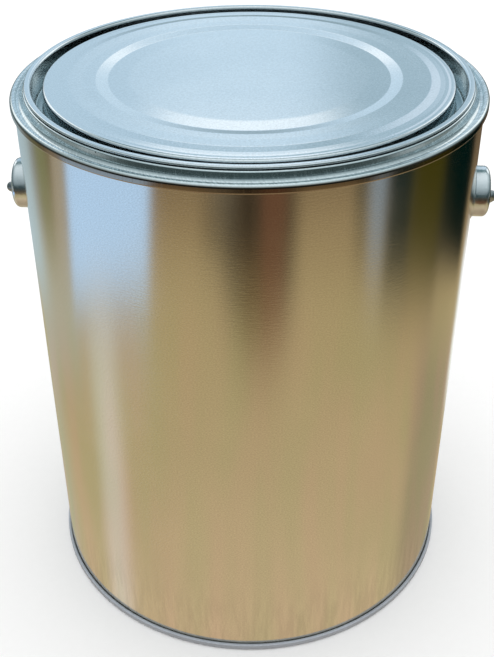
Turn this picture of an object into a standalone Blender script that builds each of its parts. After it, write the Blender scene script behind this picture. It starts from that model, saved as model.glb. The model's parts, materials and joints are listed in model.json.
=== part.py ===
"""A round four-litre tinplate paint can with a friction lid and a wire bail.

The can stands on its bottom seam at the origin, with its axis on +Z. The ears are on +X and -X. The bail
hangs behind the can, towards +Y, and the body's side seam is at the back as well.

Sizes are in millimetres. A turned piece is given as a bent line of corners, each with a radius from the
can's axis, a height, and the radius of the bend at that corner, or 0 for a sharp or slight one.
"""

import math

import bmesh
import bpy

MM = 0.001

# The can's plate and overall size.
CAN_HEIGHT = 206.0
BODY_RADIUS = 82.8
PLATE = 0.3
CLEARANCE = 0.3

# The double seams at both ends. Depths are measured from the seam's outer edge into the can.
SEAM_HEIGHT = 3.1
SEAM_GAP = 0.15
SEAM_TOP_BEND = 0.7
HOOK_BEND = 0.25
COVER_HOOK_TIP = 1.2
BODY_HOOK_TIP = 2.4
BODY_FLANGE_DEPTH = 0.85
COMPOUND_NEAR = 0.4
COMPOUND_FAR = 0.6
COMPOUND_INSET = 0.25

# The welded lap along the body's back.
SIDE_SEAM_WIDTH = 0.9
SIDE_SEAM_RISE = 0.15

# The bottom end's recessed panel and its ring beads, as inner and outer radius.
BOTTOM_RECESS = 4.3
BEAD_HEIGHT = 0.8
BEAD_SLOPE = 1.5
OUTER_BEAD = (70.0, 73.0)
CENTRE_BEAD_RADIUS = 51.0

# The friction ring, with heights measured from the top seam's edge.
COUNTERSINK_DEPTH = 2.1
COUNTERSINK_INNER_RADIUS = 79.6
RING_WALL_RADIUS = 79.2
RING_BEAD_TOP = 2.2
PLUG_OPENING_RADIUS = 76.9
RING_CURL_DEPTH = 7.3
RING_CURL_WIDTH = 1.1

# The lid, with heights measured from the top seam's edge.
LID_RIM_RADIUS = 78.9
LID_RIM_TOP = 3.45
PLUG_DEPTH = 6.15
CHANNEL_INNER_RADIUS = 72.5
SHOULDER_HEIGHT = 2.5
CROWN_RADIUS = 71.0
CROWN_HEIGHT = 2.6
SHOULDER_INNER_RADIUS = 66.9
SHOULDER_INNER_HEIGHT = 2.75
PANEL_RADIUS = 63.8
PANEL_HEIGHT = 3.08
STEP_RADIUS = 54.3
STEP_HEIGHT = 2.8
CENTRE_RADIUS = 49.9
CENTRE_HEIGHT = 2.2

# The ears.
EAR_HEIGHT = 164.2
EAR_FACE = 89.2
EAR_RADIUS = 9.7
EAR_PLATE = 0.7
EAR_CORNER_BEND = 1.2
EAR_FOOT_FLARE = 1.1
EAR_HOLE_RADIUS = 3.0
EAR_HOLE_DROP = 0.8

# The bail. Its legs run straight from the ears and an arch joins them.
WIRE_RADIUS = 1.9
WIRE_BEND_RADIUS = 2.4
WIRE_OFFSET = 91.9
BAIL_REACH = 101.4
BAIL_LEG = 25.0
WIRE_HEAD_RADIUS = 4.0
WIRE_HEAD_THICKNESS = 1.2
WIRE_HEAD_EDGE = 0.3
WIRE_HEAD_SETBACK = 0.6

# How finely round things are divided.
CAN_STEPS = 48
EAR_STEPS = 32
HOLE_STEPS = 24
HEAD_STEPS = 24
ELBOW_STEPS = 4
ARCH_STEPS = 28

# Worked out from the sizes above. The hooks of a double seam lie side by side with small gaps, so each
# layer's middle is one plate and one gap further out than the last.
HALF_PLATE = PLATE / 2
LAYER = PLATE + SEAM_GAP
BODY_WALL = BODY_RADIUS - HALF_PLATE
CHUCK_WALL = BODY_WALL - LAYER
COVER_HOOK = BODY_WALL + LAYER
BODY_HOOK = COVER_HOOK + LAYER
SEAM_WALL = BODY_HOOK + LAYER
PLUG_WALL = PLUG_OPENING_RADIUS - CLEARANCE - HALF_PLATE
WIRE_HEIGHT = EAR_HEIGHT - EAR_HOLE_DROP - (EAR_HOLE_RADIUS - WIRE_RADIUS - CLEARANCE)
WIRE_HEAD_CENTRE = EAR_FACE - EAR_PLATE - WIRE_HEAD_SETBACK - WIRE_HEAD_THICKNESS / 2
BAIL_DROOP = math.acos((BODY_RADIUS + CLEARANCE + WIRE_RADIUS) / BAIL_REACH)

COOL_TINPLATE = (0.70, 0.76, 0.80)
WARM_TINPLATE = (0.66, 0.60, 0.50)
GALVANISED_WIRE = (0.60, 0.64, 0.66)
SEALING_COMPOUND = (0.35, 0.36, 0.34)


def clear_scene():
    for item in list(bpy.context.scene.objects):
        bpy.data.objects.remove(item, do_unlink=True)


def new_collection(name):
    collection = bpy.data.collections.new(name)
    bpy.context.scene.collection.children.link(collection)
    return collection


def make_material(name, colour, metallic, roughness):
    material = bpy.data.materials.new(name)
    material.use_nodes = True
    shader = material.node_tree.nodes["Principled BSDF"]
    shader.inputs["Base Color"].default_value = (*colour, 1.0)
    shader.inputs["Metallic"].default_value = metallic
    shader.inputs["Roughness"].default_value = roughness
    return material


def place(item, collection, material):
    collection.objects.link(item)
    item.data.materials.append(material)
    return item


def as_cutter(item, collection):
    collection.objects.link(item)
    item.display_type = "WIRE"
    item.hide_render = True
    return item


def bent(corners):
    """The line through the corners, each bend a chamfer between the ends of its arc, or sharp if 0."""
    line = [corners[0][:2]]
    for before, corner, after in zip(corners, corners[1:], corners[2:]):
        radius, height, bend = corner
        if bend == 0.0:
            line.append((radius, height))
            continue
        back = (before[0] - radius, before[1] - height)
        ahead = (after[0] - radius, after[1] - height)
        back_length, ahead_length = math.hypot(*back), math.hypot(*ahead)
        cosine = (back[0] * ahead[0] + back[1] * ahead[1]) / (back_length * ahead_length)
        setback = bend / math.tan(math.acos(cosine) / 2)
        for way, length in ((back, back_length), (ahead, ahead_length)):
            line.append((radius + way[0] / length * setback, height + way[1] / length * setback))
    line.append(corners[-1][:2])
    return line


def turned(name, profile, steps, closed=False):
    """A profile of (radius, height) points, turned about Z."""
    mesh = bpy.data.meshes.new(name)
    edges = [(i, i + 1) for i in range(len(profile) - 1)]
    if closed:
        edges.append((len(profile) - 1, 0))
    mesh.from_pydata([(radius * MM, 0.0, height * MM) for radius, height in profile], edges, [])
    item = bpy.data.objects.new(name, mesh)
    screw = item.modifiers.new("turn", "SCREW")
    screw.angle = math.tau
    screw.steps = steps
    screw.render_steps = steps
    screw.use_merge_vertices = True
    screw.merge_threshold = 0.01 * MM
    screw.use_smooth_shade = True
    return item


def turned_sheet(name, corners, steps, thickness):
    """A formed sheet: the middle of its thickness is turned about Z, then thickened both ways."""
    item = turned(name, bent(corners), steps)
    shell = item.modifiers.new("plate", "SOLIDIFY")
    shell.thickness = thickness * MM
    shell.offset = 0.0
    shell.use_even_offset = True
    return item


def add_boolean(item, other, operation):
    modifier = item.modifiers.new(operation.lower(), "BOOLEAN")
    modifier.operation = operation
    modifier.object = other


def cylinder(name, radius, depth, steps, collection):
    mesh = bpy.data.meshes.new(name)
    shape = bmesh.new()
    bmesh.ops.create_cone(
        shape,
        cap_ends=True,
        segments=steps,
        radius1=radius * MM,
        radius2=radius * MM,
        depth=depth * MM,
    )
    shape.to_mesh(mesh)
    shape.free()
    return as_cutter(bpy.data.objects.new(name, mesh), collection)


def seam_cover(direction, edge):
    """The end's side of a double seam, from the tip of its hook over the edge to the chuck wall.

    direction is 1 where the seam's edge, at height edge, faces up and -1 where it faces down.
    """
    fold = SEAM_HEIGHT - HALF_PLATE
    outline = [
        (COVER_HOOK, COVER_HOOK_TIP, 0.0),
        (COVER_HOOK, fold, HOOK_BEND),
        (SEAM_WALL, fold, HOOK_BEND),
        (SEAM_WALL, HALF_PLATE, SEAM_TOP_BEND),
        (CHUCK_WALL, HALF_PLATE, SEAM_TOP_BEND),
    ]
    return [(radius, edge - direction * depth, bend) for radius, depth, bend in outline]


def body_hook(direction, edge):
    """The body's side of a double seam, from the tip of its hook to the body's wall."""
    outline = [
        (BODY_HOOK, BODY_HOOK_TIP, 0.0),
        (BODY_HOOK, BODY_FLANGE_DEPTH, HOOK_BEND),
        (BODY_WALL, BODY_FLANGE_DEPTH, HOOK_BEND),
    ]
    return [(radius, edge - direction * depth, bend) for radius, depth, bend in outline]


def make_side_seam(cutters):
    """The lap's outer layer, a narrow strip that stands a little proud of the wall."""
    depth = HALF_PLATE + SIDE_SEAM_RISE
    length = CAN_HEIGHT - 2 * (SEAM_HEIGHT + 1.0)
    mesh = bpy.data.meshes.new("side_seam")
    shape = bmesh.new()
    bmesh.ops.create_cube(shape, size=MM)
    bmesh.ops.scale(shape, vec=(SIDE_SEAM_WIDTH, depth, length), verts=shape.verts)
    shape.to_mesh(mesh)
    shape.free()
    strip = as_cutter(bpy.data.objects.new("side_seam", mesh), cutters)
    strip.location = (0.0, (BODY_RADIUS + SIDE_SEAM_RISE - depth / 2) * MM, CAN_HEIGHT / 2 * MM)
    return strip


def make_can_body(parts, cutters, material):
    corners = body_hook(1, CAN_HEIGHT) + body_hook(-1, 0.0)[::-1]
    body = turned_sheet("can_body", corners, CAN_STEPS, PLATE)
    add_boolean(body, make_side_seam(cutters), "UNION")
    return place(body, parts, material)


def make_bottom_end(parts, material):
    """A stamped end, recessed above its seam, with a ring bead and a raised centre in its panel."""
    bead = BOTTOM_RECESS + BEAD_HEIGHT
    bead_inner, bead_outer = OUTER_BEAD
    corners = seam_cover(-1, 0.0) + [
        (CHUCK_WALL - 0.15, BOTTOM_RECESS, 0.5),
        (bead_outer + BEAD_SLOPE, BOTTOM_RECESS, 0.0),
        (bead_outer, bead, 0.0),
        (bead_inner, bead, 0.0),
        (bead_inner - BEAD_SLOPE, BOTTOM_RECESS, 0.0),
        (CENTRE_BEAD_RADIUS + BEAD_SLOPE, BOTTOM_RECESS, 0.0),
        (CENTRE_BEAD_RADIUS, bead, 0.0),
        (0.0, bead, 0.0),
    ]
    return place(turned_sheet("bottom_end", corners, CAN_STEPS, PLATE), parts, material)


def make_top_ring(parts, material):
    """The friction ring: seam, countersink, bead under the lid's rim, and the plug opening's wall."""
    opening = PLUG_OPENING_RADIUS + HALF_PLATE
    bead = RING_BEAD_TOP - HALF_PLATE
    inner = [
        (CHUCK_WALL - 0.25, -COUNTERSINK_DEPTH, 0.7),
        (COUNTERSINK_INNER_RADIUS, -COUNTERSINK_DEPTH, 1.5),
        (RING_WALL_RADIUS, bead, 0.4),
        (opening, bead, 0.45),
        (opening, -RING_CURL_DEPTH, 0.3),
        (opening + RING_CURL_WIDTH, -RING_CURL_DEPTH, 0.3),
        (opening + RING_CURL_WIDTH, 0.8 - RING_CURL_DEPTH, 0.0),
    ]
    corners = seam_cover(1, CAN_HEIGHT)
    corners += [(radius, CAN_HEIGHT + rise, bend) for radius, rise, bend in inner]
    return place(turned_sheet("top_ring", corners, CAN_STEPS, PLATE), parts, material)


def make_seam_compound(name, direction, edge, parts, material):
    """A thread of sealing compound in the seam, between the end and the body's hook."""
    inside, outside = BODY_WALL + COMPOUND_INSET, BODY_HOOK - COMPOUND_INSET
    corners = [
        (outside, COMPOUND_NEAR),
        (outside, COMPOUND_FAR),
        (inside, COMPOUND_FAR),
        (inside, COMPOUND_NEAR),
    ]
    profile = [(radius, edge - direction * depth) for radius, depth in corners]
    if direction < 0:
        profile.reverse()
    return place(turned(name, profile, CAN_STEPS, closed=True), parts, material)


def make_lid(parts, material):
    """The friction lid: curled rim, plug channel, crowned shoulder, raised panel and sunk centre."""
    curl_top = LID_RIM_TOP - HALF_PLATE
    curl_under = RING_BEAD_TOP + CLEARANCE + HALF_PLATE
    curl_outer = LID_RIM_RADIUS - HALF_PLATE
    floor = HALF_PLATE - PLUG_DEPTH
    corners = [
        (PLUG_WALL + 1.05, curl_under, 0.0),
        (curl_outer, curl_under, 0.25),
        (curl_outer, curl_top, 0.35),
        (PLUG_WALL, curl_top, 0.6),
        (PLUG_WALL - 0.15, floor, 0.9),
        (CHANNEL_INNER_RADIUS + 0.2, floor, 0.9),
        (CHANNEL_INNER_RADIUS - HALF_PLATE, SHOULDER_HEIGHT - HALF_PLATE, 0.8),
        (CROWN_RADIUS, CROWN_HEIGHT - HALF_PLATE, 0.0),
        (SHOULDER_INNER_RADIUS, SHOULDER_INNER_HEIGHT - HALF_PLATE, 0.0),
        (PANEL_RADIUS, PANEL_HEIGHT - HALF_PLATE, 0.0),
        (STEP_RADIUS, STEP_HEIGHT - HALF_PLATE, 0.0),
        (CENTRE_RADIUS, CENTRE_HEIGHT - HALF_PLATE, 0.0),
        (0.0, CENTRE_HEIGHT - HALF_PLATE, 0.0),
    ]
    lid = turned_sheet("lid", corners, CAN_STEPS, PLATE)
    lid.location = (0.0, 0.0, CAN_HEIGHT * MM)
    return place(lid, parts, material)


def make_ear(name, side, parts, cutters, material):
    """A pressed cup with a flared foot, cut to the can's curve. side is 1 at +X and -1 at -X."""
    wall = EAR_RADIUS - EAR_PLATE / 2
    face = EAR_FACE - EAR_PLATE / 2
    foot = BODY_RADIUS + CLEARANCE
    corners = [
        (0.0, face, 0.0),
        (wall, face, EAR_CORNER_BEND),
        (wall, foot + 0.6, 0.5),
        (wall + EAR_FOOT_FLARE, foot - 0.3, 0.5),
        (wall + EAR_FOOT_FLARE, foot - 1.8, 0.0),
    ]
    ear = turned_sheet(name, corners, EAR_STEPS, EAR_PLATE)
    ear.rotation_euler = (0.0, side * math.pi / 2, 0.0)
    ear.location = (0.0, 0.0, EAR_HEIGHT * MM)
    hole = cylinder(name + "_hole", EAR_HOLE_RADIUS, 6.0, HOLE_STEPS, cutters)
    hole.rotation_euler = (0.0, math.pi / 2, 0.0)
    hole.location = (side * EAR_FACE * MM, 0.0, (EAR_HEIGHT - EAR_HOLE_DROP) * MM)
    add_boolean(ear, hole, "DIFFERENCE")
    add_boolean(ear, cutters.objects["can_clearance"], "DIFFERENCE")
    return place(ear, parts, material)


def bail_path():
    """The wire's centre line in the bail's own plane: X across the can, Y away from the hinge axis."""
    elbow_centre = WIRE_OFFSET - WIRE_BEND_RADIUS
    leg = [(WIRE_HEAD_CENTRE, 0.0)]
    for step in range(ELBOW_STEPS + 1):
        turn = step / ELBOW_STEPS * math.pi / 2
        across = elbow_centre + WIRE_BEND_RADIUS * math.sin(turn)
        along = WIRE_BEND_RADIUS * (1.0 - math.cos(turn))
        leg.append((across, along))
    arch = []
    for step in range(ARCH_STEPS + 1):
        turn = step / ARCH_STEPS * math.pi
        across = WIRE_OFFSET * math.cos(turn)
        along = BAIL_LEG + (BAIL_REACH - BAIL_LEG) * math.sin(turn)
        arch.append((across, along))
    other_leg = [(-across, along) for across, along in reversed(leg)]
    return leg + arch + other_leg


def wire_mesh(name, path):
    """A round wire along the path, as an object with one closed mesh."""
    curve = bpy.data.curves.new(name + "_path", "CURVE")
    curve.dimensions = "3D"
    curve.bevel_depth = WIRE_RADIUS * MM
    curve.bevel_resolution = 2
    curve.use_fill_caps = True
    spline = curve.splines.new("POLY")
    spline.points.add(len(path) - 1)
    for point, (across, along) in zip(spline.points, path):
        point.co = (across * MM, along * MM, 0.0, 1.0)
    guide = bpy.data.objects.new(name + "_path", curve)
    bpy.context.scene.collection.objects.link(guide)
    bpy.context.view_layer.update()
    evaluated = guide.evaluated_get(bpy.context.evaluated_depsgraph_get())
    mesh = bpy.data.meshes.new_from_object(evaluated)
    bpy.data.objects.remove(guide, do_unlink=True)
    shape = bmesh.new()
    shape.from_mesh(mesh)
    bmesh.ops.remove_doubles(shape, verts=shape.verts, dist=0.01 * MM)
    bmesh.ops.recalc_face_normals(shape, faces=shape.faces)
    shape.to_mesh(mesh)
    shape.free()
    mesh.shade_smooth()
    mesh.set_sharp_from_angle(angle=math.radians(50))
    return bpy.data.objects.new(name, mesh)


def make_bail(parts, cutters, material):
    """The wire handle, with a head upset on each end inside its ear, drooping until it meets the can."""
    bail = wire_mesh("bail_handle", bail_path())
    half = WIRE_HEAD_THICKNESS / 2
    corners = [
        (0.0, half, 0.0),
        (WIRE_HEAD_RADIUS, half, WIRE_HEAD_EDGE),
        (WIRE_HEAD_RADIUS, -half, WIRE_HEAD_EDGE),
        (0.0, -half, 0.0),
    ]
    for label, side in (("left", -1), ("right", 1)):
        head = as_cutter(turned("wire_head_" + label, bent(corners), HEAD_STEPS), cutters)
        head.location = (side * WIRE_HEAD_CENTRE * MM, 0.0, WIRE_HEIGHT * MM)
        head.rotation_euler = (0.0, math.pi / 2, 0.0)
        add_boolean(bail, head, "UNION")
    bail.location = (0.0, 0.0, WIRE_HEIGHT * MM)
    bail.rotation_euler = (-BAIL_DROOP, 0.0, 0.0)
    return place(bail, parts, material)


def main():
    clear_scene()
    parts = new_collection("paint_can")
    cutters = new_collection("cutters")
    cool = make_material("tinplate_end", COOL_TINPLATE, 1.0, 0.28)
    warm = make_material("tinplate_body", WARM_TINPLATE, 1.0, 0.25)
    pressed = make_material("ear_plate", COOL_TINPLATE, 1.0, 0.3)
    wire = make_material("bail_wire", GALVANISED_WIRE, 1.0, 0.4)
    compound = make_material("seam_compound", SEALING_COMPOUND, 0.0, 0.7)

    can_clearance = cylinder("can_clearance", BODY_RADIUS + CLEARANCE, 60.0, CAN_STEPS, cutters)
    can_clearance.location = (0.0, 0.0, EAR_HEIGHT * MM)

    make_can_body(parts, cutters, warm)
    make_bottom_end(parts, cool)
    make_seam_compound("bottom_seam_compound", -1, 0.0, parts, compound)
    make_top_ring(parts, cool)
    make_seam_compound("top_seam_compound", 1, CAN_HEIGHT, parts, compound)
    make_lid(parts, cool)
    make_ear("ear_left", -1, parts, cutters, pressed)
    make_ear("ear_right", 1, parts, cutters, pressed)
    make_bail(parts, cutters, wire)


main()
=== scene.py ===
"""The looks of a round tinplate paint can: fine turned and pressed sheet, metal finishes and a soft studio.

Lengths are in millimetres and become metres when a mesh is made. A turned piece is a bent line of corners,
each with a radius from the axis, a height, and the radius of the bend there, or 0 for a sharp one.
"""

import json
import math

import bmesh
import bpy
import numpy as np
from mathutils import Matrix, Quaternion, Vector


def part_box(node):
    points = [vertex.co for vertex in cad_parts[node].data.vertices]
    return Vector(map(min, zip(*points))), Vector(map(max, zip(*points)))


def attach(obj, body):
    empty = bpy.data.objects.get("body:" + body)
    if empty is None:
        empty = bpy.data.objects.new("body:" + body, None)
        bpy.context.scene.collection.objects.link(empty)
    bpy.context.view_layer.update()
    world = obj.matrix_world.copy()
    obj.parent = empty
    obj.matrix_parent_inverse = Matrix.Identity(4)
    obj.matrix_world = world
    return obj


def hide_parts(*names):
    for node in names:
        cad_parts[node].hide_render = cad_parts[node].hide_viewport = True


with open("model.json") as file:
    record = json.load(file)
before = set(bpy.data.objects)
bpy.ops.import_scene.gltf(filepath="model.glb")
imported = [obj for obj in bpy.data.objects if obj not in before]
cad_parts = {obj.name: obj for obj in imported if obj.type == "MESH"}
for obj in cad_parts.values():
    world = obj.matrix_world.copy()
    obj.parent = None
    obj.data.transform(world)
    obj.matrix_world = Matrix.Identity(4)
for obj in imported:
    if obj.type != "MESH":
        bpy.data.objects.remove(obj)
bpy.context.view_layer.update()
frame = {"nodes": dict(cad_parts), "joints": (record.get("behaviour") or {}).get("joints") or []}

MM = 0.001

# The can's plate and its double seams. Depths are measured from a seam's outer edge into the can.
PLATE = 0.3
HALF_PLATE = PLATE / 2
SEAM_GAP = 0.15
LAYER = PLATE + SEAM_GAP
SEAM_HEIGHT = 3.1
SEAM_TOP_BEND = 1.15
SEAM_INNER_BEND = 0.35
HOOK_BEND = 0.25
SEAM_FOLD_BEND = 0.42
COVER_HOOK_TIP = 1.2
BODY_HOOK_TIP = 2.4
BODY_FLANGE_DEPTH = 0.85
RING_BEAD_TOP = 2.2
CLEARANCE = 0.3

# Places read from the frame.
RING_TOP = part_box("top_ring")[1] / MM
LID_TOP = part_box("lid")[1] / MM
LID_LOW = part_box("lid")[0] / MM
EAR_LOW, EAR_HIGH = (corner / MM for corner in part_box("ear_right"))
BAIL_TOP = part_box("bail_handle")[1] / MM
HINGE = next(Vector(joint["pos_m"]) / MM for joint in frame["joints"] if joint["name"] == "bail_swing")
CAN_HEIGHT = RING_TOP.z - RING_BEAD_TOP
SEAM_RADIUS = RING_TOP.x
BODY_RADIUS = SEAM_RADIUS - 3 * LAYER
BODY_WALL = BODY_RADIUS - HALF_PLATE
CHUCK_WALL = BODY_WALL - LAYER
COVER_HOOK = BODY_WALL + LAYER
BODY_HOOK = COVER_HOOK + LAYER
SEAM_WALL = BODY_HOOK + LAYER

# The welded lap along the body's back, and the body's slight waviness.
LAP_WIDTH = 0.9
LAP_RISE = 0.15
LAP_EDGE = 0.12
WALL_MARGIN = SEAM_HEIGHT + 1.0
LAP_FADE = 1.5
WELD_PITCH = 1.1
WELD_RIPPLE = 0.015
WAVE_HEIGHT = 0.035
WAVE_FADE = 25.0
WALL_ROW = 5.0

# The friction ring, with heights measured from the top seam's edge.
COUNTERSINK_DEPTH = 1.5
COUNTERSINK_INNER_RADIUS = 79.9
RING_WALL_RADIUS = 79.2
PLUG_OPENING_RADIUS = 76.9
RING_CURL_DEPTH = 7.3
RING_CURL_WIDTH = 1.1

# The lid, with heights measured from the top seam's edge.
LID_RIM_RADIUS = LID_TOP.x
LID_RIM_TOP = LID_TOP.z - CAN_HEIGHT
PLUG_DEPTH = CAN_HEIGHT - LID_LOW.z
PLUG_WALL = PLUG_OPENING_RADIUS - CLEARANCE - HALF_PLATE
CHANNEL_INNER_RADIUS = 72.5
SHOULDER_INNER_RADIUS = 67.0
PANEL_RADIUS = 63.8
STEP_RADIUS = 54.1
CENTRE_RADIUS = 49.9
DISH_RADIUS = 42.5
SHOULDER_HEIGHT = 2.38
PANEL_HEIGHT = 2.93
STEP_HEIGHT = 2.69
CENTRE_HEIGHT = 2.05
DISH_HEIGHT = CENTRE_HEIGHT + 0.22
SHOULDER_INNER_HEIGHT = SHOULDER_HEIGHT + 0.18
PANEL_SAG_RADIUS = 58.5
PANEL_SAG = 0.19

# The shoulder's low ridges: radius, height over the shoulder, and bend.
SHOULDER_RIDGES = [(70.7, 0.01, 1.5), (69.9, 0.10, 2.0), (68.7, 0.11, 3.0)]

# The bottom end's recess and beads.
BOTTOM_RECESS = 4.3
BEAD_HEIGHT = 0.8
BEAD_SLOPE = 1.5
OUTER_BEAD = (70.0, 73.0)
CENTRE_BEAD_RADIUS = 51.0

# The ears, as pressed cups turned about the X axis.
EAR_HEIGHT = (EAR_LOW.z + EAR_HIGH.z) / 2
EAR_FACE = EAR_HIGH.x
EAR_FOOT_RADIUS = (EAR_HIGH.z - EAR_LOW.z) / 2
EAR_PLATE = 0.7
EAR_FLARE = 1.1
EAR_RADIUS = EAR_FOOT_RADIUS - EAR_FLARE
EAR_CORNER_BEND = 1.5
EAR_FOOT_BEND = 0.7
EAR_HOLE_RADIUS = 3.0
EAR_HOLE_DROP = 0.8

# The bail wire.
WIRE_RADIUS = 1.9
WIRE_OFFSET = BAIL_TOP.x - WIRE_RADIUS
WIRE_BEND_RADIUS = 2.4
BAIL_REACH = 101.4
BAIL_LEG = 25.0
BAIL_DROOP = math.acos((BODY_RADIUS + CLEARANCE + WIRE_RADIUS) / BAIL_REACH)
WIRE_HEAD_RADIUS = 4.0
WIRE_HEAD_THICKNESS = 1.2
WIRE_HEAD_EDGE = 0.35
WIRE_HEAD_FILLET = 0.4
WIRE_HEAD_SETBACK = 0.6
WIRE_HEAD_INNER = EAR_FACE - EAR_PLATE - WIRE_HEAD_SETBACK - WIRE_HEAD_THICKNESS

# How finely shapes are divided.
CAN_STEPS = 256
EAR_STEPS = 96
WIRE_SIDES = 24
ARCH_STEPS = 96
ELBOW_STEPS = 12
HEAD_BEND_STEPS = 4
ARC_STEP = math.radians(12)
SHARP_ANGLE = math.radians(40)

# A radius below this is a single point on the axis.
ON_AXIS = 1e-6

# Colours of the finishes, as reflectance.
WARM_TIN = (0.78, 0.73, 0.64)
COOL_TIN = (0.74, 0.78, 0.80)
RIM_TIN = (0.69, 0.75, 0.76)
EAR_TIN = (0.74, 0.77, 0.78)
ZINC = (0.34, 0.37, 0.38)
COMPOUND_GREY = (0.20, 0.21, 0.20)
# Painted reflection of the brown ground, laid on the seam's outer wall.
SEAM_REFLECTION_BROWN = (0.30, 0.20, 0.11)
# Painted shade: the dark teal laid deep in the plug channel.
CHANNEL_SHADE_TEAL = (0.16, 0.27, 0.28)
# Painted reflection of a dark horizon: a near-black line on the seam's upper outer bend.
EDGE_REFLECTION_BLACK = (0.02, 0.025, 0.025)
BASE_GREY = (0.27, 0.285, 0.31)
BASE_EDGE_GREY = (0.36, 0.39, 0.43)
WELD_BLUE = (0.42, 0.44, 0.50)
NICK_BLACK = (0.02, 0.02, 0.02)
FLOOR_WHITE = (0.90, 0.90, 0.90)

# What the camera sees behind the can, and the plain light that falls on everything but mirrors nothing.
BACKDROP_WHITE = (1.0, 1.0, 1.0)
STUDIO_LIGHT = (1.28, 1.28, 1.28)

# Most of a noise's values lie between these.
NOISE_LOW = 0.3
NOISE_HIGH = 0.7

# Noises that are drawn out one way: scale across, scale upwards, and a seed.
GRAIN = (0.28, 1.9, 0.0)
FINE_GRAIN = (1.5, 3.0, 4.0)
FOOT_DRIPS = (0.42, 0.055, 7.0)
GROUND_PATCHES = (0.07, 0.16, 1.0)
GROUND_PILE = (0.55, 0.2, 5.0)

# Where painted shade and painted reflections lie on the ring and lid, with heights measured from the top
# seam's edge,
# and how strongly: painted shade deep in the plug channel, and painted reflections on the seam's outer edge.
CHANNEL_SHADE_HEIGHTS = (-3.5, 0.6)
CHANNEL_SHADE_SHARE = 0.6
EDGE_LINE_HEIGHTS = (-1.25, -0.75)
EDGE_LINE_SHARE = 0.75
BROWN_HEIGHTS = (-0.9, -0.3)
BROWN_SHARE = 0.8

# The same, as distances in from the seam's outer edge. Rub marks fade out before they reach it.
SEAM_EDGE_DEPTHS = (1.1, 0.4)
RUB_END_DEPTHS = (1.0, 0.5)
RUB_TONES = (-0.24, 0.12)

# Small pits in the ring: how many to a millimetre, their size as a share of their spacing, and strength.
NICK_SCALE = 0.16
NICK_SIZES = (0.035, 0.06)
NICK_SHARE = 0.85

# Where the other finishes change, with heights measured from the floor, and how far from the lap the weld's
# tint reaches.
FOOT_MARK_HEIGHTS = (8.0, 42.0)
BASE_EDGE_HEIGHTS = (2.5, 2.9)
WELD_TINT_REACH = (0.5, 3.2)
WELD_TINT_SHARE = 0.75

# Roughness, from the smoothest to the roughest spots.
TIN_ROUGHNESS = (0.13, 0.17)
EAR_ROUGHNESS = (0.15, 0.26)
WIRE_ROUGHNESS = (0.34, 0.5)
BASE_ROUGHNESS = (0.42, 0.55)
COMPOUND_ROUGHNESS = (0.6, 0.8)

# The camera's place: round the can from its front, above the horizon, and its lean, in degrees. Then its
# distance and the point it looks at, in metres, and its lens in millimetres.
VIEW_AZIMUTH = 3.0
VIEW_ELEVATION = 34.19
VIEW_ROLL = 0.25
VIEW_DISTANCE = 0.4224
AIM_HEIGHT = 0.0992
AIM_SIDE = -0.0012
LENS = 55.78

# The floor's half width, in metres.
FLOOR_HALF_WIDTH = 6.0


# ---------------------------------------------------------------- profiles and meshes


def corner_arc(before, corner, after):
    """The points of one bend, or its corner alone where it is sharp."""
    point, bend = Vector(corner[:2]), corner[2]
    if bend == 0:
        return [tuple(point)]
    back = (Vector(before[:2]) - point).normalized()
    ahead = (Vector(after[:2]) - point).normalized()
    half = back.angle(ahead) / 2
    centre = point + (back + ahead).normalized() * bend / math.sin(half)
    start = point + back * bend / math.tan(half) - centre
    end = point + ahead * bend / math.tan(half) - centre
    heading = math.atan2(start.y, start.x)
    turn = (math.atan2(end.y, end.x) - heading + math.pi) % math.tau - math.pi
    steps = max(3, math.ceil(abs(turn) / ARC_STEP))
    angles = [heading + turn * step / steps for step in range(steps + 1)]
    return [(centre.x + bend * math.cos(a), centre.y + bend * math.sin(a)) for a in angles]


def rounded(corners):
    """The line through the corners, with each bend as an arc."""
    line = [tuple(corners[0][:2])]
    for before, corner, after in zip(corners, corners[1:], corners[2:]):
        line += corner_arc(before, corner, after)
    return line + [tuple(corners[-1][:2])]


def sheet_outline(line, thickness):
    """The closed outline of a sheet whose middle follows the line."""
    points = np.array(line)
    along = np.diff(points, axis=0)
    along /= np.linalg.norm(along, axis=1)[:, None]
    normals = np.stack([-along[:, 1], along[:, 0]], axis=1)
    mitres = normals[:-1] + normals[1:]
    mitres /= (1 + (normals[:-1] * normals[1:]).sum(axis=1))[:, None]
    offset = np.concatenate([normals[:1], mitres, normals[-1:]]) * thickness / 2
    return np.concatenate([points + offset, (points - offset)[::-1]])


def even_angles(steps):
    return [math.tau * step / steps for step in range(steps)]


def lathe(outline, angles, place):
    """Turns a closed outline. place(angle, radius, height) gives each point, and radius 0 is one point."""
    points, rings = [], []
    for radius, height in outline:
        turns = angles if radius > ON_AXIS else angles[:1]
        rings.append([len(points) + i for i in range(len(turns))])
        points += [place(angle, radius, height) for angle in turns]
    faces = []
    for ring, after in zip(rings, rings[1:] + rings[:1]):
        faces += ring_faces(ring, after, len(angles))
    return points, faces


def ring_faces(ring, after, count):
    """Quads between two rings, triangles to a single point, and nothing between two single points."""
    if len(ring) == 1 and len(after) == 1:
        return []
    faces = []
    for i in range(count):
        j = (i + 1) % count
        corners = [ring[i % len(ring)], ring[j % len(ring)], after[j % len(after)], after[i % len(after)]]
        faces.append(tuple(dict.fromkeys(corners)))
    return faces


def upright(angle, radius, height):
    return (radius * math.cos(angle), radius * math.sin(angle), height)


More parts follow.
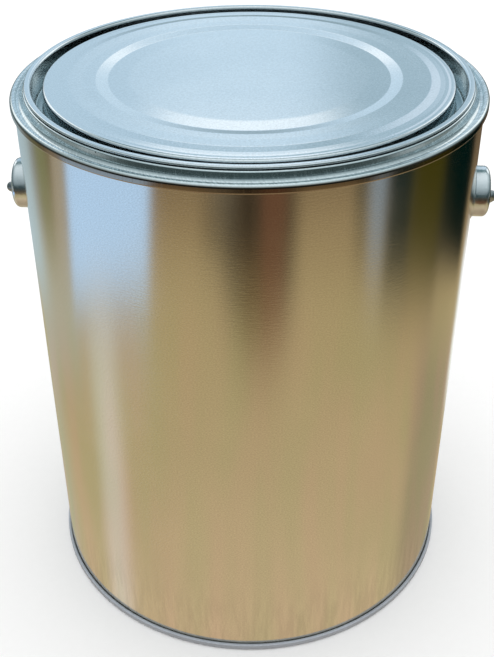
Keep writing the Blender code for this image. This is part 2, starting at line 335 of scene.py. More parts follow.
def make_piece(name, points, faces, body, nodes, material):
    """A smooth closed mesh in the frame, which rides on a body and stands for CAD nodes."""
    mesh = bpy.data.meshes.new(name)
    mesh.from_pydata([tuple(Vector(point) * MM) for point in points], [], faces)
    shape = bmesh.new()
    shape.from_mesh(mesh)
    bmesh.ops.recalc_face_normals(shape, faces=shape.faces)
    shape.to_mesh(mesh)
    shape.free()
    mesh.shade_smooth()
    mesh.set_sharp_from_angle(angle=SHARP_ANGLE)
    mesh.materials.append(material)
    piece = bpy.data.objects.new(name, mesh)
    bpy.context.scene.collection.objects.link(piece)
    weighting = piece.modifiers.new("flats", "WEIGHTED_NORMAL")
    weighting.keep_sharp = True
    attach(piece, body)
    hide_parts(*nodes)
    return piece


def turned_piece(name, corners, body, node, material):
    outline = sheet_outline(rounded(corners), PLATE)
    points, faces = lathe(outline, even_angles(CAN_STEPS), upright)
    return make_piece(name, points, faces, body, [node], material)


# ---------------------------------------------------------------- the can


def seam_cover(direction, edge):
    """The end's side of a double seam, from the tip of its hook over the edge to the chuck wall."""
    fold = SEAM_HEIGHT - HALF_PLATE
    outline = [
        (COVER_HOOK, COVER_HOOK_TIP, 0),
        (COVER_HOOK, fold, HOOK_BEND),
        (SEAM_WALL, fold, SEAM_FOLD_BEND),
        (SEAM_WALL, HALF_PLATE, SEAM_TOP_BEND),
        (CHUCK_WALL, HALF_PLATE, SEAM_INNER_BEND),
    ]
    return [(radius, edge - direction * depth, bend) for radius, depth, bend in outline]


def body_hook(direction, edge):
    """The body's side of a double seam, from the tip of its hook to the wall."""
    outline = [
        (BODY_HOOK, BODY_HOOK_TIP, 0),
        (BODY_HOOK, BODY_FLANGE_DEPTH, HOOK_BEND),
        (BODY_WALL, BODY_FLANGE_DEPTH, HOOK_BEND),
    ]
    return [(radius, edge - direction * depth, bend) for radius, depth, bend in outline]


def smooth_step(value):
    value = min(1.0, max(0.0, value))
    return value * value * (3 - 2 * value)


def lap_rise(angle, height):
    """How far the lap stands out of the wall at the back, with the ripple that the weld wheels leave."""
    across = abs(angle - math.pi / 2) * BODY_RADIUS
    width = smooth_step((LAP_WIDTH / 2 - across) / LAP_EDGE + 0.5)
    from_end = min(height, CAN_HEIGHT - height) - WALL_MARGIN
    length = smooth_step(from_end / LAP_FADE)
    ripple = WELD_RIPPLE * math.sin(math.tau * height / WELD_PITCH)
    return width * length * (LAP_RISE + ripple)


def wall_wave(angle, height):
    """The thin wall's slight unevenness, gone at both seams."""
    ends = smooth_step((min(height, CAN_HEIGHT - height) - SEAM_HEIGHT) / WAVE_FADE)
    slow = math.sin(5 * angle + 0.8) * math.sin(math.tau * height / 115 + 0.4)
    quick = math.sin(11 * angle + 2.1 + height / 60)
    return ends * WAVE_HEIGHT * (slow + 0.5 * quick)


def body_point(angle, radius, height):
    wall = smooth_step((min(height, CAN_HEIGHT - height) - SEAM_HEIGHT) / 1.0)
    outside = 1.0 if radius > BODY_WALL else 0.0
    radius += wall_wave(angle, height) + wall * outside * lap_rise(angle, height)
    return upright(angle, radius, height)


def body_angles():
    """Even steps round the can, with finer ones across the lap."""
    half = LAP_WIDTH / 2
    lap = [half + LAP_EDGE * share for share in (-0.5, -0.17, 0.17, 0.5)]
    lap_angles = [math.pi / 2 + side * across / BODY_RADIUS for across in lap for side in (-1, 1)]
    near = 0.75 * math.tau / CAN_STEPS
    even = [a for a in even_angles(CAN_STEPS) if abs(a - math.pi / 2) > near or a == math.pi / 2]
    return sorted(even + lap_angles)


def make_can_body(material):
    top, bottom = body_hook(1, CAN_HEIGHT), body_hook(-1, 0.0)[::-1]
    low, high = WALL_MARGIN, CAN_HEIGHT - WALL_MARGIN
    rows = int((high - low) / WALL_ROW)
    wall = [(BODY_WALL, high + (low - high) * row / rows, 0) for row in range(rows + 1)]
    outline = sheet_outline(rounded(top + wall + bottom), PLATE)
    points, faces = lathe(outline, body_angles(), body_point)
    make_piece("body_shell", points, faces, "can", ["can_body"], material)


def make_bottom_end(material):
    """The stamped end, recessed above its seam, with a ring bead and a raised centre."""
    bead = BOTTOM_RECESS + BEAD_HEIGHT
    bead_inner, bead_outer = OUTER_BEAD
    corners = seam_cover(-1, 0.0) + [
        (CHUCK_WALL - 0.15, BOTTOM_RECESS, 0.7),
        (bead_outer + BEAD_SLOPE, BOTTOM_RECESS, 1.0),
        (bead_outer, bead, 1.0),
        (bead_inner, bead, 1.0),
        (bead_inner - BEAD_SLOPE, BOTTOM_RECESS, 1.0),
        (CENTRE_BEAD_RADIUS + BEAD_SLOPE, BOTTOM_RECESS, 1.0),
        (CENTRE_BEAD_RADIUS, bead, 1.0),
        (0.0, bead, 0),
    ]
    turned_piece("bottom_plate", corners, "can", "bottom_end", material)


def make_top_ring(material):
    """The friction ring: seam, countersink, bead under the lid's rim, and the plug opening's curl."""
    opening = PLUG_OPENING_RADIUS + HALF_PLATE
    bead = RING_BEAD_TOP - HALF_PLATE
    inner = [
        (CHUCK_WALL - 0.1, -COUNTERSINK_DEPTH, 0.5),
        (COUNTERSINK_INNER_RADIUS, -COUNTERSINK_DEPTH, 2.0),
        (RING_WALL_RADIUS, bead, 0.45),
        (opening, bead, 0.5),
        (opening, -RING_CURL_DEPTH, 0.45),
        (opening + RING_CURL_WIDTH, -RING_CURL_DEPTH, 0.45),
        (opening + RING_CURL_WIDTH, 0.8 - RING_CURL_DEPTH, 0),
    ]
    corners = seam_cover(1, CAN_HEIGHT)
    corners += [(radius, CAN_HEIGHT + rise, bend) for radius, rise, bend in inner]
    turned_piece("friction_ring", corners, "can", "top_ring", material)


def make_lid(material):
    """The plug lid: curled rim, channel, two-ridged shoulder, panel, embossed step and dished centre."""
    curl_top = LID_RIM_TOP - HALF_PLATE
    curl_under = RING_BEAD_TOP + CLEARANCE + HALF_PLATE
    curl_outer = LID_RIM_RADIUS - HALF_PLATE
    floor = HALF_PLATE - PLUG_DEPTH
    inner = [
        (PLUG_WALL + 1.05, curl_under, 0),
        (curl_outer, curl_under, 0.25),
        (curl_outer, curl_top, 0.4),
        (PLUG_WALL, curl_top, 1.0),
        (PLUG_WALL - 0.15, floor, 0.9),
        (CHANNEL_INNER_RADIUS + 0.2, floor, 0.9),
        (CHANNEL_INNER_RADIUS - HALF_PLATE, SHOULDER_HEIGHT, 0.8),
    ]
    inner += [(radius, SHOULDER_HEIGHT + rise, bend) for radius, rise, bend in SHOULDER_RIDGES]
    inner += [
        (SHOULDER_INNER_RADIUS, SHOULDER_INNER_HEIGHT, 1.5),
        (PANEL_RADIUS, PANEL_HEIGHT, 4.0),
        (PANEL_SAG_RADIUS, PANEL_HEIGHT - PANEL_SAG, 60.0),
        (STEP_RADIUS, STEP_HEIGHT, 3.0),
        (CENTRE_RADIUS, CENTRE_HEIGHT, 3.0),
        (DISH_RADIUS, DISH_HEIGHT, 60.0),
        (0.0, DISH_HEIGHT, 0),
    ]
    corners = [(radius, CAN_HEIGHT + rise, bend) for radius, rise, bend in inner]
    turned_piece("lid_plate", corners, "lid", "lid", material)


# ---------------------------------------------------------------- ears and bail


def ear_outline():
    """The cup's wall from the rim of its pierced hole to its flared foot: distance from the ear's axis, then
    distance from the can's axis."""
    wall = EAR_RADIUS - EAR_PLATE / 2
    face = EAR_FACE - EAR_PLATE / 2
    foot = BODY_RADIUS + CLEARANCE
    corners = [
        (EAR_HOLE_RADIUS, face, 0),
        (wall, face, EAR_CORNER_BEND),
        (wall, foot + EAR_PLATE / 2, EAR_FOOT_BEND),
        (wall + EAR_FLARE, foot + EAR_PLATE / 2 - 0.2, 0),
    ]
    return sheet_outline(rounded(corners), EAR_PLATE)


def ear_point(side, angle, radius, distance):
    """The foot is curved to sit on the can, and the hole lies a little under the ear's middle."""
    low = BODY_RADIUS + CLEARANCE
    follow = smooth_step((EAR_FACE - 1.0 - distance) / (EAR_FACE - 1.0 - low))
    flat = EAR_RADIUS - EAR_CORNER_BEND - EAR_PLATE
    drop = EAR_HOLE_DROP * (1 - smooth_step((radius - EAR_HOLE_RADIUS) / (flat - EAR_HOLE_RADIUS)))
    across = radius * math.cos(angle)
    up = radius * math.sin(angle)
    sag = low - math.sqrt(low * low - across * across)
    return (side * (distance - follow * sag), across, EAR_HEIGHT + up - drop)


def make_ear(name, side, node, material):
    outline = ear_outline()
    points, faces = lathe(outline, even_angles(EAR_STEPS), lambda a, r, d: ear_point(side, a, r, d))
    make_piece(name, points, faces, "can", [node], material)


def head_stations():
    """The upset head inside the ear and the fillet to the straight wire, as (across, radius)."""
    inner, outer = WIRE_HEAD_INNER, WIRE_HEAD_INNER + WIRE_HEAD_THICKNESS
    edge, fillet = WIRE_HEAD_EDGE, WIRE_HEAD_FILLET
    turns = [step / HEAD_BEND_STEPS * math.pi / 2 for step in range(HEAD_BEND_STEPS + 1)]
    bends = [(1 - math.cos(turn), 1 - math.sin(turn)) for turn in turns]
    stations = [(inner, 0.0)]
    stations += [(inner + edge * near, WIRE_HEAD_RADIUS - edge * far) for near, far in bends]
    stations += [(outer - edge * far, WIRE_HEAD_RADIUS - edge * near) for near, far in bends]
    stations += [(outer + fillet * near, WIRE_RADIUS + fillet * far) for near, far in bends]
    return stations


def half_bail():
    """The head to the middle of the arch, as (across, along, heading, wire radius) in the bail's plane."""
    elbow = WIRE_OFFSET - WIRE_BEND_RADIUS
    path = [(across, 0.0, 0.0, radius) for across, radius in head_stations()]
    for step in range(ELBOW_STEPS + 1):
        turn = step / ELBOW_STEPS * math.pi / 2
        across = elbow + WIRE_BEND_RADIUS * math.sin(turn)
        path.append((across, WIRE_BEND_RADIUS * (1 - math.cos(turn)), turn, WIRE_RADIUS))
    rise = BAIL_REACH - BAIL_LEG
    for step in range(ARCH_STEPS // 2 + 1):
        turn = step / ARCH_STEPS * math.pi
        heading = math.atan2(rise * math.cos(turn), -WIRE_OFFSET * math.sin(turn))
        path.append((WIRE_OFFSET * math.cos(turn), BAIL_LEG + rise * math.sin(turn), heading, WIRE_RADIUS))
    return path


def bail_point(across, along, lift):
    """A point of the bail's plane, hinged down behind the can."""
    back = along * math.cos(BAIL_DROOP) + lift * math.sin(BAIL_DROOP)
    up = lift * math.cos(BAIL_DROOP) - along * math.sin(BAIL_DROOP)
    return (across, back, HINGE.z + up)


def make_bail(material):
    half = half_bail()
    mirrored = [
        (-across, along, math.tau - heading, radius)
        for across, along, heading, radius in half[-2::-1]
    ]
    points, rings = [], []
    for across, along, heading, radius in half + mirrored:
        angles = even_angles(WIRE_SIDES) if radius > 0 else [0.0]
        rings.append([len(points) + i for i in range(len(angles))])
        for angle in angles:
            out = radius * math.cos(angle)
            spot = (across - out * math.sin(heading), along + out * math.cos(heading))
            points.append(bail_point(*spot, radius * math.sin(angle)))
    faces = []
    for ring, after in zip(rings, rings[1:]):
        faces += ring_faces(ring, after, WIRE_SIDES)
    make_piece("bail_wire_handle", points, faces, "bail", ["bail_handle"], material)


# ---------------------------------------------------------------- node helpers


class Nodes:
    """Adds shader nodes to a tree. An input is a value or another node's output."""

    def __init__(self, tree):
        self.tree = tree

    def add(self, kind, inputs=None, output=0, **settings):
        node = self.tree.nodes.new(kind)
        for key, value in settings.items():
            setattr(node, key, value)
        for key, value in (inputs or {}).items():
            self.join(node.inputs[key], value)
        return node.outputs[output]

    def join(self, socket, value):
        if isinstance(value, bpy.types.NodeSocket):
            self.tree.links.new(value, socket)
        elif isinstance(value, tuple) and len(value) == 3 and socket.type == "RGBA":
            socket.default_value = (*value, 1.0)
        else:
            socket.default_value = value

    def math(self, operation, first, second=0.0, third=0.0):
        return self.add("ShaderNodeMath", {0: first, 1: second, 2: third}, operation=operation)

    def vector(self, x, y, z):
        return self.add("ShaderNodeCombineXYZ", {0: x, 1: y, 2: z})

    def noise(self, vector, scale=1.0, detail=2.0, roughness=0.5):
        inputs = {"Vector": vector, "Scale": scale, "Detail": detail, "Roughness": roughness}
        return self.add("ShaderNodeTexNoise", inputs)

    def ramp(self, value, low, high, first=0.0, last=1.0):
        """first below low, last above high, and a smooth change between them."""
        inputs = {0: value, 1: low, 2: high, 3: first, 4: last}
        return self.add("ShaderNodeMapRange", inputs, interpolation_type="SMOOTHSTEP")

    def vary(self, noise, low, high):
        """A noise brought to a range from low to high."""
        return self.ramp(noise, NOISE_LOW, NOISE_HIGH, low, high)

    def drawn_out(self, across, up, stretch):
        """Noise that is drawn out one way, for grain, drips and streaks."""
        across_scale, up_scale, seed = stretch
        place = self.vector(self.product(across, across_scale), self.product(up, up_scale), seed)
        return self.noise(place)

    def product(self, *values):
        """The values multiplied together."""
        result = values[0]
        for value in values[1:]:
            result = self.math("MULTIPLY", result, value)
        return result

    def mix(self, share, first, second):
        inputs = {0: share, 6: first, 7: second}
        return self.add("ShaderNodeMix", inputs, output=2, data_type="RGBA")

    def tint(self, colour, hue):
        """The colour multiplied by a hue."""
        inputs = {0: 1.0, 6: colour, 7: hue}
        return self.add("ShaderNodeMix", inputs, output=2, data_type="RGBA", blend_type="MULTIPLY")

    def scale_colour(self, colour, factor):
        inputs = {0: colour, "Scale": factor}
        return self.add("ShaderNodeVectorMath", inputs, operation="SCALE")


def new_material(name):
    material = bpy.data.materials.new(name)
    material.use_nodes = True
    return material, Nodes(material.node_tree), material.node_tree.nodes["Principled BSDF"]


def around_can(nodes):
    """Arc length round the can, height, distance from its axis and place, all in millimetres."""
    place = nodes.add("ShaderNodeTexCoord", output=3)
    split = nodes.tree.nodes.new("ShaderNodeSeparateXYZ")
    nodes.join(split.inputs[0], place)
    x, y, height = [nodes.product(output, 1 / MM) for output in split.outputs]
    angle = nodes.math("ARCTAN2", x, nodes.product(y, -1.0))
    arc = nodes.product(angle, BODY_RADIUS)
    squares = nodes.math("ADD", nodes.product(x, x), nodes.product(y, y))
    return arc, height, nodes.math("SQRT", squares), nodes.vector(x, y, height)


# ---------------------------------------------------------------- finishes


def finish_surface(nodes, shader, colour, roughness, bump_height, bump_depth):
    nodes.join(shader.inputs["Base Color"], colour)
    nodes.join(shader.inputs["Roughness"], roughness)
    bump = {"Strength": 1.0, "Distance": bump_depth * MM, "Height": bump_height}
    nodes.join(shader.inputs["Normal"], nodes.add("ShaderNodeBump", bump))
    shader.inputs["Metallic"].default_value = 1.0


def body_tinplate():
    """Bright rolled plate: grain and faint streaks run round the can, and the weld has tinted the lap."""
    material, nodes, shader = new_material("body_tinplate")
    arc, height, _, _ = around_can(nodes)
    grain = nodes.drawn_out(arc, height, GRAIN)
    fine = nodes.drawn_out(arc, height, FINE_GRAIN)
    cloud = nodes.noise(nodes.vector(arc, height, 9.0), scale=0.022, detail=4.0)
    tone = nodes.math("ADD", nodes.vary(cloud, 0.965, 1.02), nodes.vary(fine, -0.07, 0.07))
    tone = nodes.math("ADD", tone, foot_marks(nodes, arc, height))
    from_lap = nodes.math("SUBTRACT", math.pi * BODY_RADIUS, nodes.math("ABSOLUTE", arc))
    weld = nodes.ramp(from_lap, *WELD_TINT_REACH, WELD_TINT_SHARE, 0.0)
    colour = nodes.mix(weld, nodes.scale_colour(WARM_TIN, tone), WELD_BLUE)
    roughness = nodes.math("ADD", nodes.vary(cloud, *TIN_ROUGHNESS), nodes.product(weld, 0.25))
    bump_height = nodes.math("ADD", grain, nodes.product(fine, 0.25))
    finish_surface(nodes, shader, colour, roughness, bump_height, bump_depth=0.007)
    return material


def foot_marks(nodes, arc, height):
    """Faint upright marks low on the body."""
    foot = nodes.ramp(height, *FOOT_MARK_HEIGHTS, 1.0, 0.0)
    drips = nodes.drawn_out(arc, height, FOOT_DRIPS)
    return nodes.product(foot, nodes.ramp(drips, 0.32, 0.68, -0.065, 0.06))


def end_tinplate(name, scuffs_and_reflections=False):
    """Satin plate with a fine mottle, and painted shade deep in the plug channel. It can also carry rub marks
    and nicks, and painted reflections on the seam's outer edge.
    """
    material, nodes, shader = new_material(name)
    arc, height, radius, place = around_can(nodes)
    mottle = nodes.noise(place, scale=1.5, detail=3.0, roughness=0.65)
    cloud = nodes.noise(place, scale=0.02, detail=3.0)
    tone = nodes.math("ADD", nodes.vary(mottle, 0.93, 1.06), nodes.vary(cloud, -0.02, 0.02))
    colour = nodes.scale_colour(RIM_TIN if scuffs_and_reflections else COOL_TIN, tone)
    colour = nodes.mix(painted_channel_shade(nodes, height, radius), colour, CHANNEL_SHADE_TEAL)
    roughness = nodes.vary(cloud, *TIN_ROUGHNESS)
    bump_height = mottle
    if scuffs_and_reflections:
        rubs = rub_marks(nodes, arc, radius)
        colour = scuffs_and_painted_reflections(nodes, colour, rubs, height, radius)
        colour = nodes.mix(nicks(nodes, arc, height), colour, NICK_BLACK)
        bump_height = nodes.math("ADD", mottle, nodes.product(rubs, 0.5))
        roughness = nodes.math("ADD", roughness, nodes.ramp(rubs, 0.45, 0.7, 0.0, 0.08))
    finish_surface(nodes, shader, colour, roughness, bump_height, bump_depth=0.004)
    return material


def painted_channel_shade(nodes, height, radius):
    # Painted shade: darkens the plate deep down in the plug channel and in the ring's plug opening.
    low, high = [CAN_HEIGHT + level for level in CHANNEL_SHADE_HEIGHTS]
    deep = nodes.ramp(height, low, high, CHANNEL_SHADE_SHARE, 0.0)
    return nodes.product(deep, nodes.ramp(radius, PLUG_OPENING_RADIUS + 0.6, RING_WALL_RADIUS, 1.0, 0.0))


def rub_marks(nodes, arc, radius):
    """Fine marks that slant across the ring."""
    lean = nodes.math("SUBTRACT", nodes.product(arc, 1.5), nodes.product(radius, 1.7))
    return nodes.noise(nodes.vector(lean, nodes.product(radius, 0.25), 0.0), detail=3.0)


def scuffs_and_painted_reflections(nodes, colour, rubs, height, radius):
    """Painted reflections on the seam's outer edge, a brown band and a black line, and rub marks between it
    and the countersink.
    """
    outer = nodes.ramp(radius, *[SEAM_RADIUS - depth for depth in SEAM_EDGE_DEPTHS])
    # Painted reflection: brown from the ground on the seam's outer wall.
    low, high = [CAN_HEIGHT + level for level in BROWN_HEIGHTS]
    brown = nodes.product(outer, nodes.ramp(height, low, high, 1.0, 0.0))
    colour = nodes.mix(nodes.product(brown, BROWN_SHARE), colour, SEAM_REFLECTION_BROWN)
    worn = nodes.ramp(radius, COUNTERSINK_INNER_RADIUS - 0.3, COUNTERSINK_INNER_RADIUS + 1.0)
    fade_start, fade_end = [SEAM_RADIUS - depth for depth in RUB_END_DEPTHS]
    worn = nodes.product(worn, nodes.ramp(radius, fade_start, fade_end, 1.0, 0.0))
    streaks = nodes.product(worn, nodes.ramp(rubs, 0.35, 0.65, *RUB_TONES))
    colour = nodes.scale_colour(colour, nodes.math("ADD", 1.0, streaks))
    # Painted reflection: a near-black line on the seam's upper outer bend.
    low, high = [CAN_HEIGHT + level for level in EDGE_LINE_HEIGHTS]
    edge_line = nodes.product(band(nodes, height, low, high, 0.1), outer, EDGE_LINE_SHARE)
    return nodes.mix(edge_line, colour, EDGE_REFLECTION_BLACK)


def base_plate():
    """The bottom end's plate in a dull flat grey, darker on its lowest 2.5 millimetres."""
    material, nodes, shader = new_material("base_plate")
    _, height, _, place = around_can(nodes)
    mottle = nodes.noise(place, scale=1.2, detail=3.0)
    cloud = nodes.noise(place, scale=0.03, detail=3.0)
    tone = nodes.math("ADD", nodes.vary(mottle, 0.93, 1.05), nodes.vary(cloud, -0.05, 0.05))
    upper_share = nodes.ramp(height, *BASE_EDGE_HEIGHTS)
    colour = nodes.scale_colour(nodes.mix(upper_share, BASE_GREY, BASE_EDGE_GREY), tone)
    roughness = nodes.vary(mottle, *BASE_ROUGHNESS)
    finish_surface(nodes, shader, colour, roughness, mottle, bump_depth=0.006)
    shader.inputs["Metallic"].default_value = 0.05
    return material


def nicks(nodes, arc, height):
    """Small dark pits, a few to each hand's width of the rim."""
    inputs = {"Vector": nodes.vector(arc, nodes.product(height, 1.4), 2.0), "Scale": NICK_SCALE}
    near = nodes.add("ShaderNodeTexVoronoi", inputs)
    return nodes.ramp(near, *NICK_SIZES, NICK_SHARE, 0.0)


def ear_tinplate():
    """Pressed plate, stretched smooth, with light drawing marks."""
    material, nodes, shader = new_material("ear_tinplate")
    _, _, _, place = around_can(nodes)
    marks = nodes.noise(place, scale=0.55, detail=3.0)
    cloud = nodes.noise(place, scale=0.12, detail=2.0)
    colour = nodes.scale_colour(EAR_TIN, nodes.vary(cloud, 0.86, 1.05))
    roughness = nodes.vary(marks, *EAR_ROUGHNESS)
    finish_surface(nodes, shader, colour, roughness, marks, bump_depth=0.05)
    return material


def drawn_wire():
    """Galvanised wire: dull zinc with spangle and fine pitting."""
    material, nodes, shader = new_material("drawn_wire")
    _, _, _, place = around_can(nodes)
    spangle = nodes.add("ShaderNodeTexVoronoi", {"Vector": place, "Scale": 0.45}, output=1)
    grey = nodes.add("ShaderNodeRGBToBW", {0: spangle})
    pits = nodes.noise(place, scale=2.2, detail=4.0)
    colour = nodes.scale_colour(ZINC, nodes.ramp(grey, 0.1, 0.9, 0.75, 1.15))
    roughness = nodes.vary(pits, *WIRE_ROUGHNESS)
    finish_surface(nodes, shader, colour, roughness, pits, bump_depth=0.03)
    return material


def sealing_compound():
    """Dull grey rubber with a slightly grainy skin."""
    material, nodes, shader = new_material("sealing_compound")
    _, _, _, place = around_can(nodes)
    skin = nodes.noise(place, scale=1.5, detail=4.0)
    colour = nodes.scale_colour(COMPOUND_GREY, nodes.vary(skin, 0.8, 1.2))
    roughness = nodes.vary(skin, *COMPOUND_ROUGHNESS)
    finish_surface(nodes, shader, colour, roughness, skin, bump_depth=0.05)
    shader.inputs["Metallic"].default_value = 0.0
    return material


def dress_compounds(material):
    for name in ("top_seam_compound", "bottom_seam_compound"):
        thread = frame["nodes"][name]
        for holder in thread.material_slots:
            holder.material = material


# ---------------------------------------------------------------- the studio

# What the metal mirrors, by height above the horizon in degrees: warm ground below, pale sky above. Only
# reflections see it: the camera and the floor see plain white.
SURROUNDINGS = [
    (-90, (0.40, 0.31, 0.21)),
    (-68, (0.48, 0.38, 0.26)),
    (-57, (0.61, 0.49, 0.34)),
    (-50, (0.64, 0.515, 0.35)),
    (-43, (0.57, 0.475, 0.295)),
    (-37, (0.52, 0.435, 0.255)),
    (-32, (0.49, 0.405, 0.22)),
    (-28, (0.35, 0.26, 0.14)),
    (-24, (0.17, 0.12, 0.07)),
    (-15, (0.08, 0.07, 0.055)),
    (0, (0.04, 0.07, 0.075)),
    (7, (0.05, 0.085, 0.09)),
    (14, (0.25, 0.31, 0.33)),
    (35, (0.46, 0.55, 0.58)),
    (60, (0.75, 0.86, 0.90)),
    (90, (1.00, 1.08, 1.12)),
]

# Soft panels and dark things round the can. Each has its middle, half width and lean in azimuth, its low and
# high edge in height, and its softness sideways and upwards, all in degrees, then its strength and colour.
# Azimuth 0 is on the camera's side of the can, 90 on its right. A lean is how far the panel's middle moves
# round for each degree up, from its place at LEAN_LEVEL.
PANELS = [
    ("room behind", 180, 112, 0, -6, 12, 18, 4, 0.9, (0.13, 0.19, 0.20)),
    ("low room behind", 180, 112, 0, -14, -7, 18, 3, 0.9, (0.32, 0.36, 0.35)),
    ("left strip", -78, 9, 0, -18, -8, 5, 3, 0.9, (0.82, 0.88, 0.90)),
    ("right strip", 80, 9, 0, -18, -8, 5, 3, 0.9, (0.82, 0.88, 0.90)),
    ("left back strip", -122, 6, 0, -13, -7, 4, 3, 0.9, (0.66, 0.70, 0.70)),
    ("right back strip", 122, 6, 0, -13, -7, 4, 3, 0.9, (0.66, 0.70, 0.70)),
    ("back strip", 180, 12, 0, -13, -4, 8, 3, 0.8, (0.70, 0.78, 0.82)),
    ("left pale wall", -128, 24, 0, -36, -28.5, 4, 3, 0.9, (0.49, 0.50, 0.42)),
    ("left shade", -121, 7, 0, -28.5, -12, 5, 3, 0.8, (0.24, 0.27, 0.14)),
    ("left post", -107, 6, 0.6, -29, -12, 3, 3, 0.8, (0.46, 0.42, 0.33)),
    ("left window", -75.5, 26, 0.75, -32, -21, 3, 1.8, 1.0, (0.555, 0.835, 1.25)),
    ("dark gap", 4, 17, 0, -33, -10, 7, 3, 1.0, (0.062, 0.045, 0.028)),
    ("dark blot", -1, 22, 0, -30, -27, 6, 1.5, 0.75, (0.04, 0.033, 0.022)),
    ("door foot", 3, 8, 0, -36, -30, 5, 2, 0.5, (0.14, 0.065, 0.015)),
    ("red door", 11.5, 6, 0, -34.5, -20, 3, 3, 0.65, (0.195, 0.088, 0.048)),
    ("door edge", -1, 1.2, 0, -31, -20, 0.8, 2, 0.7, (0.01, 0.008, 0.006)),
    ("grey post", -13, 6, 0, -27.5, -20, 4, 3, 0.6, (0.16, 0.15, 0.12)),
    ("right frame", 55, 4, 0, -29, -20, 3, 3, 0.8, (0.04, 0.04, 0.025)),
    ("right glass", 64, 5, 0, -30, -20, 3, 3, 0.9, (0.25, 0.35, 0.47)),
    ("right cloth", 78, 9, 0, -31.5, -12, 4, 3, 1.0, (0.006, 0.018, 0.018)),
    ("olive curtain", 98, 13, 0, -31.5, -12, 4, 3, 1.0, (0.05, 0.045, 0.004)),
    ("green shade", 125, 17, 0, -30.2, -12, 4, 1.5, 1.0, (0.0, 0.008, 0.007)),
    ("pale streak", -84, 9, 0.3, -60, -33, 7, 4, 0.7, (0.78, 0.76, 0.72)),
    ("left back light", -152, 20, 0, -31, -12, 10, 3, 0.75, (0.52, 0.71, 0.82)),
    ("left low light", -150, 14, 0, -60, -33, 10, 4, 0.6, (0.50, 0.49, 0.40)),
    ("right low shade", 128, 24, 0, -60, -34, 8, 3, 0.7, (0.35, 0.30, 0.21)),
    ("right back light", 162, 11, 0, -37, -28, 6, 2.5, 0.95, (1.05, 1.10, 1.12)),
    ("dim wall behind", 180, 50, 0, 39, 60, 10, 3, 1.0, (0.14, 0.23, 0.25)),
    ("sky behind", 180, 26, 0, 7, 39, 5, 3, 1.0, (0.56, 0.735, 0.87)),
    ("sky middle", 180, 6, 0, 7, 39, 4, 3, 1.0, (0.67, 0.85, 0.99)),
    ("sky shade", 171, 4, 0, 7, 39, 2.5, 3, 0.9, (0.42, 0.57, 0.66)),
    ("sky edge", 163, 3, 0, 7, 39, 2.5, 3, 0.8, (0.80, 0.92, 1.03)),
    ("left dark edge", -172, 8, 0, -25, -12, 4, 2, 0.8, (0.10, 0.05, 0.06)),
    ("left lamp", -141, 11, 0, 8, 42, 4, 4, 1.0, (1.25, 1.32, 1.35)),
    ("right lamp", 141, 11, 0, 8, 42, 4, 4, 1.0, (1.25, 1.32, 1.35)),
    ("white lamp", 180, 6.5, 0, 24.5, 28.5, 2, 1, 1.0, (1.30, 1.36, 1.40)),
]
LEAN_LEVEL = -28.0

# Below these heights the ground is patchy, and lower still it has a pile.
PATCH_HEIGHTS = (-36.0, -31.0)
PILE_HEIGHTS = (-50.0, -43.0)
GROUND_GREEN = (0.92, 0.985, 0.89)
GROUND_PINK = (1.05, 0.965, 0.99)


def direction(nodes):
    """Azimuth and height, in degrees, of the direction that a ray looks in."""
    look = nodes.add("ShaderNodeTexCoord", output=0)
    split = nodes.tree.nodes.new("ShaderNodeSeparateXYZ")
    nodes.join(split.inputs[0], look)
    x, y, z = split.outputs
    to_degrees = math.degrees(1.0)
    azimuth = nodes.product(nodes.math("ARCTAN2", x, nodes.product(y, -1.0)), to_degrees)
    height = nodes.product(nodes.math("ARCSINE", z), to_degrees)
    return nodes.math("SUBTRACT", azimuth, VIEW_AZIMUTH), height


def band(nodes, value, low, high, soft):
    """1 between low and high and 0 outside, with soft edges."""
    rising = nodes.ramp(value, low - soft, low + soft)
    falling = nodes.ramp(value, high - soft, high + soft, 1.0, 0.0)
    return nodes.product(rising, falling)


def surroundings(nodes):
    """The colour that a reflection sees, by its direction."""
    azimuth, height = direction(nodes)
    ramp = nodes.tree.nodes.new("ShaderNodeValToRGB")
    nodes.join(ramp.inputs[0], nodes.math("MULTIPLY_ADD", height, 1 / 180, 0.5))
    stops = ramp.color_ramp.elements
    for index, (level, colour) in enumerate(SURROUNDINGS):
        stop = stops[index] if index < 2 else stops.new(1.0)
        stop.position = level / 180 + 0.5
        stop.color = (*colour, 1.0)
    colour = ramp.outputs[0]
    for _, middle, half, lean, low, high, soft_side, soft_end, strength, tint in PANELS:
        # Measured from the panel's own middle, so that a panel may lie across the back.
        upright_azimuth = nodes.math("MULTIPLY_ADD", height, -lean, azimuth)
        turned = nodes.math("SUBTRACT", upright_azimuth, middle - lean * LEAN_LEVEL)
        turned = nodes.math("WRAP", turned, -180.0, 180.0)
        side = band(nodes, turned, -half, half, soft_side)
        share = nodes.product(side, band(nodes, height, low, high, soft_end), strength)
        colour = nodes.mix(share, colour, tint)
    return uneven_ground(nodes, azimuth, height, colour)


def uneven_ground(nodes, azimuth, height, colour):
    """Low down, soft pink and green patches and, lower still, fine upright streaks like a carpet's pile."""
    low = nodes.ramp(height, *PATCH_HEIGHTS, 1.0, 0.0)
    lowest = nodes.ramp(height, *PILE_HEIGHTS, 1.0, 0.0)
    patches = nodes.drawn_out(azimuth, height, GROUND_PATCHES)
    pile = nodes.drawn_out(azimuth, height, GROUND_PILE)
    hue = nodes.mix(nodes.ramp(patches, 0.38, 0.62), GROUND_GREEN, GROUND_PINK)
    colour = nodes.mix(low, colour, nodes.tint(colour, hue))
    streaks = nodes.product(lowest, nodes.vary(pile, -0.13, 0.13))
    return nodes.scale_colour(colour, nodes.math("ADD", 1.0, streaks))


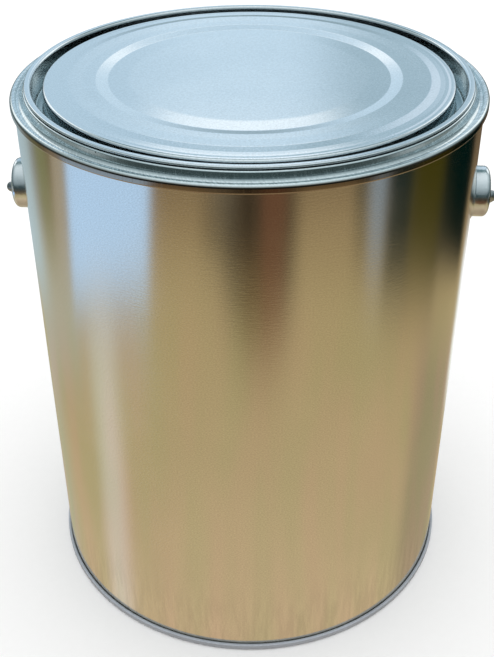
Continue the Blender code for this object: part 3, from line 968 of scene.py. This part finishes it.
def make_studio():
    """Plain white light on the floor and behind the can, and soft coloured surroundings in the metal."""
    world = bpy.data.worlds.new("studio")
    world.use_nodes = True
    world.cycles.sampling_method = "NONE"
    bpy.context.scene.world = world
    nodes = Nodes(world.node_tree)
    rays = nodes.tree.nodes.new("ShaderNodeLightPath")
    plain = nodes.mix(rays.outputs["Is Camera Ray"], STUDIO_LIGHT, BACKDROP_WHITE)
    colour = nodes.mix(rays.outputs["Is Glossy Ray"], plain, surroundings(nodes))
    background = world.node_tree.nodes["Background"]
    nodes.join(background.inputs["Color"], colour)


def make_floor():
    """A plain pale floor, which the metal doesn't mirror."""
    material, nodes, shader = new_material("pale_floor")
    place = nodes.add("ShaderNodeTexCoord", output=3)
    speckle = nodes.noise(place, scale=300.0, detail=3.0)
    colour = nodes.scale_colour(FLOOR_WHITE, nodes.ramp(speckle, 0.2, 0.8, 0.99, 1.0))
    nodes.join(shader.inputs["Base Color"], colour)
    shader.inputs["Roughness"].default_value = 0.9
    shader.inputs["Specular IOR Level"].default_value = 0.0
    half = FLOOR_HALF_WIDTH
    corners = [(-half, -half, 0), (half, -half, 0), (half, half, 0), (-half, half, 0)]
    mesh = bpy.data.meshes.new("floor")
    mesh.from_pydata(corners, [], [(0, 1, 2, 3)])
    mesh.materials.append(material)
    floor = bpy.data.objects.new("floor", mesh)
    bpy.context.scene.collection.objects.link(floor)
    floor.visible_glossy = False


def make_camera():
    """Looks down at the can from in front and a little to its right."""
    azimuth, elevation = math.radians(VIEW_AZIMUTH), math.radians(VIEW_ELEVATION)
    level = Vector((math.sin(azimuth), -math.cos(azimuth), 0.0))
    side = Vector((math.cos(azimuth), math.sin(azimuth), 0.0))
    back = level * math.cos(elevation) + Vector((0, 0, math.sin(elevation)))
    camera = bpy.data.objects.new("camera", bpy.data.cameras.new("camera"))
    bpy.context.scene.collection.objects.link(camera)
    camera.location = side * AIM_SIDE + Vector((0, 0, AIM_HEIGHT)) + back * VIEW_DISTANCE
    roll = Quaternion((0, 0, 1), -math.radians(VIEW_ROLL))
    camera.rotation_euler = ((-back).to_track_quat("-Z", "Y") @ roll).to_euler()
    camera.data.lens = LENS
    camera.data.clip_start = 0.01
    bpy.context.scene.camera = camera
    bpy.context.scene.view_settings.view_transform = "Standard"


def main():
    rim = end_tinplate("rim_tinplate", scuffs_and_reflections=True)
    lid = end_tinplate("lid_tinplate")
    ear = ear_tinplate()
    make_can_body(body_tinplate())
    make_bottom_end(base_plate())
    make_top_ring(rim)
    make_lid(lid)
    make_ear("ear_cup_left", -1, "ear_left", ear)
    make_ear("ear_cup_right", 1, "ear_right", ear)
    make_bail(drawn_wire())
    dress_compounds(sealing_compound())
    make_studio()
    make_floor()
    make_camera()


main()
